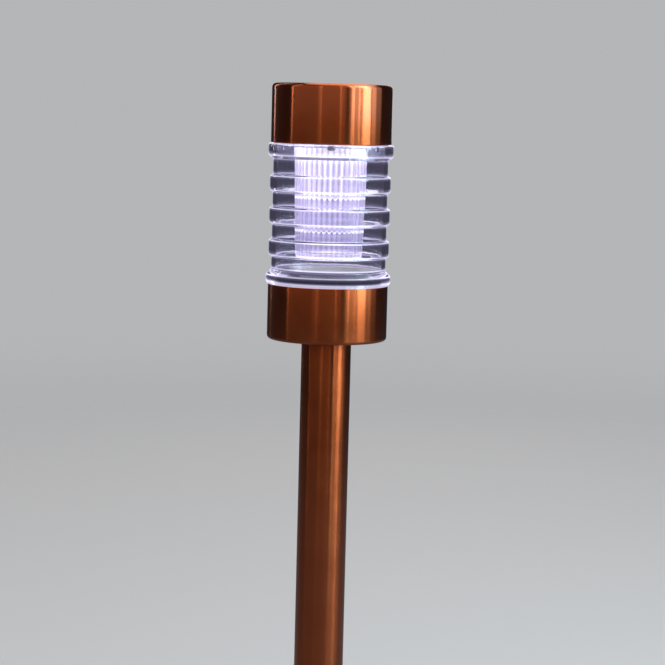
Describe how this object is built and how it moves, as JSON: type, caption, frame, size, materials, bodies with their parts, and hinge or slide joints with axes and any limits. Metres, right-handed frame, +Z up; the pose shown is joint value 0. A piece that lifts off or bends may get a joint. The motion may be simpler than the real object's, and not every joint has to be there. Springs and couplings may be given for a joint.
{
  "type": "solar garden light",
  "caption": "Push-in solar path light: tube pole on a ground spike, round head with ringed clear lens, fluted inner cup, white LED and a twist-off cap that holds the solar cell.",
  "frame": {"origin": "on the axis at ground level, where the lower end of the pole stands on the shoulder of the spike", "axes": "+Z up along the pole and the round head; the switch's lever slides along +X; +Y is the side of the switch"},
  "size_m": [0.055, 0.055, 0.3703],
  "materials": {
    "copper_metal": "copper-coloured coat on steel, brushed round, lacquered",
    "black_plastic": "moulded, fine texture",
    "dark_plastic": "moulded, glossy",
    "clear_plastic": "clear, polished",
    "fluted_plastic": "clear, fluted",
    "seal_rubber": "matt",
    "bright_dish": "bright metallised",
    "led_epoxy": "clear, lit white",
    "tinned_metal": "tinned, smooth",
    "board_green": "solder mask over woven board",
    "chip_black": "moulded, matt",
    "coil_green": "dipped, glossy",
    "battery_sleeve": "shrink sleeve, glossy",
    "screw_steel": "zinc plated",
    "board_dark": "solder mask over woven board",
    "silicon": "crystalline blue-black with silver lines",
    "clear_resin": "clear, cast",
    "red_sleeve": "insulation, satin",
    "black_sleeve": "insulation, satin"
  },
  "bodies": {
    "stake": {"ground_spike": "black_plastic"},
    "pole": {"pole": "copper_metal"},
    "head": {"collar_shell": "copper_metal", "collar_core": "dark_plastic", "lens": "clear_plastic"},
    "seal": {"seal_ring": "seal_rubber"},
    "cap": {"diffuser": "fluted_plastic", "cap_shell": "copper_metal", "cap_base": "black_plastic", "cap_core": "black_plastic", "reflector": "bright_dish", "led": "led_epoxy", "led_leads": "tinned_metal", "circuit_board": "board_green", "driver_chip": "chip_black", "inductor": "coil_green", "battery": "battery_sleeve", "battery_plus_contact": "tinned_metal", "battery_spring": "tinned_metal", "switch_body": "tinned_metal", "switch_pins": "tinned_metal", "cover_screws": "screw_steel", "solar_board": "board_dark", "solar_cell": "silicon", "cell_window": "clear_resin", "red_wires": "red_sleeve", "black_wires": "black_sleeve"},
    "switch": {"switch_slider": "chip_black"}
  },
  "joints": [
    {"name": "pole_lift", "type": "slide", "parent": "stake", "child": "pole", "axis": [0, 0, 1], "range_m": [0, 0.035]},
    {"name": "head_lift", "type": "slide", "parent": "pole", "child": "head", "axis": [0, 0, 1], "range_m": [0, 0.025]},
    {"name": "cap_lift", "type": "slide", "parent": "head", "child": "seal", "axis": [0, 0, 1], "range_m": [0, 0.055]},
    {"name": "cap_twist", "type": "hinge", "parent": "seal", "child": "cap", "pos_m": [0, 0, 0.256], "axis": [0, 0, 1], "range_deg": [-20, 0]},
    {"name": "switch_slide", "type": "slide", "parent": "cap", "child": "switch", "axis": [1, 0, 0], "range_m": [0, 0.002]}
  ]
}
